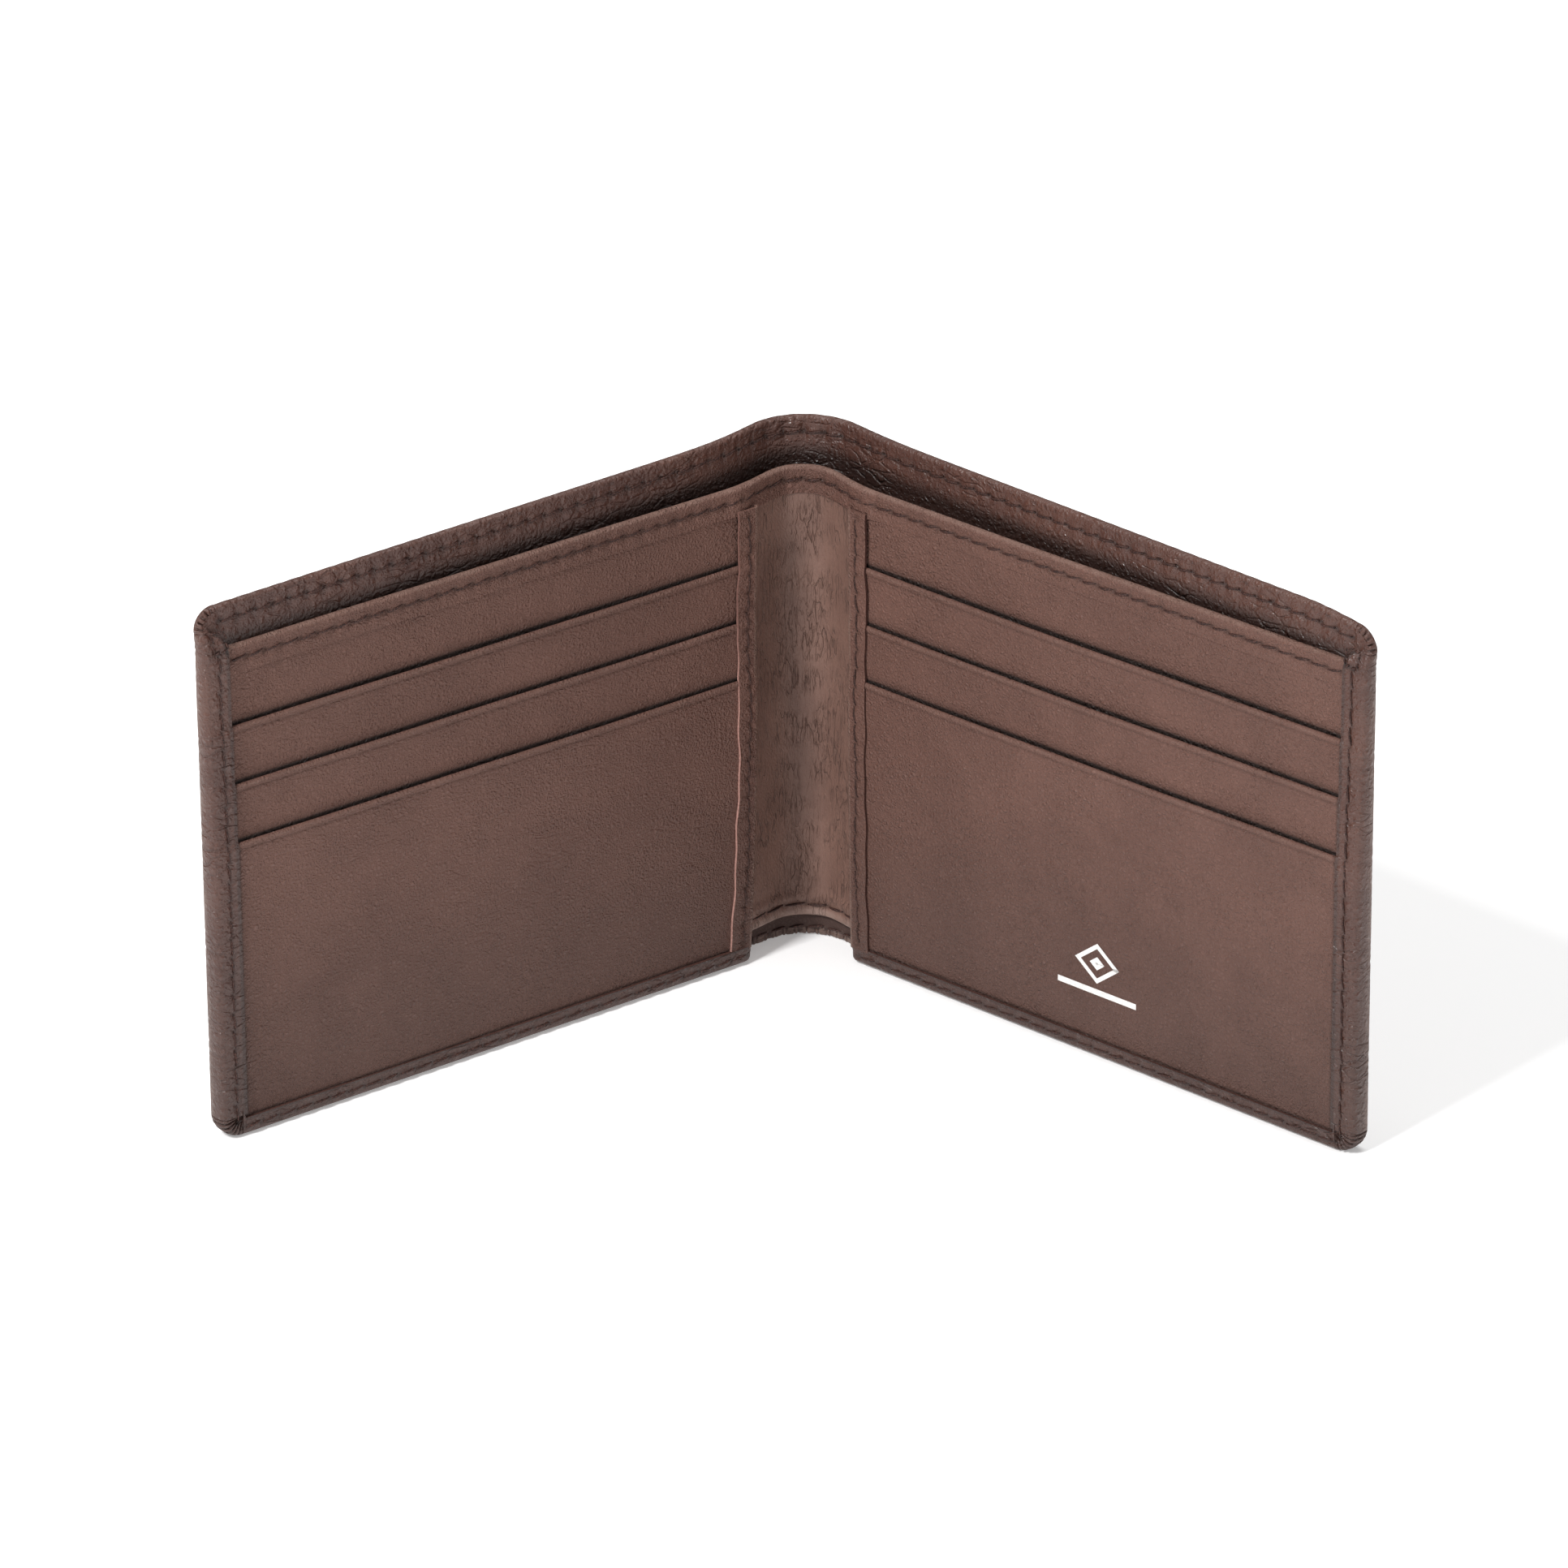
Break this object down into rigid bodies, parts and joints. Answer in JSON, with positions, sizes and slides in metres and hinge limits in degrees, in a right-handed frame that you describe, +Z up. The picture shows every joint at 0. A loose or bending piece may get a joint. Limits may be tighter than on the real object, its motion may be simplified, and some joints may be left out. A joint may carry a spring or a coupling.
{
  "type": "bifold wallet",
  "caption": "Slim leather bifold wallet, half open, with card pockets on both halves and a full-length note compartment behind them.",
  "frame": {"origin": "middle of the footprint, on the surface that the open wallet stands on", "axes": "+X along the width, from the left half to the right half; +Y from the open side towards the spine; +Z up along the spine"},
  "size_m": [0.1806, 0.0764, 0.09],
  "materials": {
    "outer_leather": "pebbled grain, satin, dark brown",
    "inner_leather": "smooth fine grain, satin, reddish brown",
    "lining": "thin grained leather, matt, dark brown",
    "board": "bonded fibre board, matt",
    "thread": "twisted reddish brown thread, slight sheen",
    "foil": "silver foil, satin"
  },
  "bodies": {
    "spine": {"spine_shell": "outer_leather", "spine_lining": "lining", "spine_strip": "inner_leather", "spine_shell_top_seam": "thread", "spine_shell_bottom_seam": "thread", "spine_strip_top_seam": "thread", "spine_strip_hem_seam": "thread"},
    "left_half": {"left_shell": "outer_leather", "left_stiffener": "board", "left_lining": "lining", "left_compartment_wall": "lining", "left_card_panel": "inner_leather", "left_top_pocket": "inner_leather", "left_middle_pocket": "inner_leather", "left_bottom_pocket": "inner_leather", "left_binding": "inner_leather", "left_shell_top_seam": "thread", "left_side_seam": "thread", "left_bottom_seam": "thread", "left_panel_top_seam": "thread", "left_binding_seam": "thread"},
    "right_half": {"right_shell": "outer_leather", "right_stiffener": "board", "right_lining": "lining", "right_compartment_wall": "lining", "right_card_panel": "inner_leather", "right_top_pocket": "inner_leather", "right_middle_pocket": "inner_leather", "right_bottom_pocket": "inner_leather", "right_binding": "inner_leather", "right_shell_top_seam": "thread", "right_side_seam": "thread", "right_bottom_seam": "thread", "right_panel_top_seam": "thread", "right_binding_seam": "thread", "right_foil_mark": "foil"}
  },
  "joints": [
    {"name": "left_fold", "type": "hinge", "parent": "spine", "child": "left_half", "pos_m": [-0.0062, 0.03544, 0.045], "axis": [0, 0, 1], "range_deg": [-39, 51]},
    {"name": "right_fold", "type": "hinge", "parent": "spine", "child": "right_half", "pos_m": [0.0062, 0.03544, 0.045], "axis": [0, 0, -1], "range_deg": [-39, 51]}
  ],
  "couplings": [
    {"joint": "right_fold", "follows": "left_fold", "ratio": 1}
  ]
}
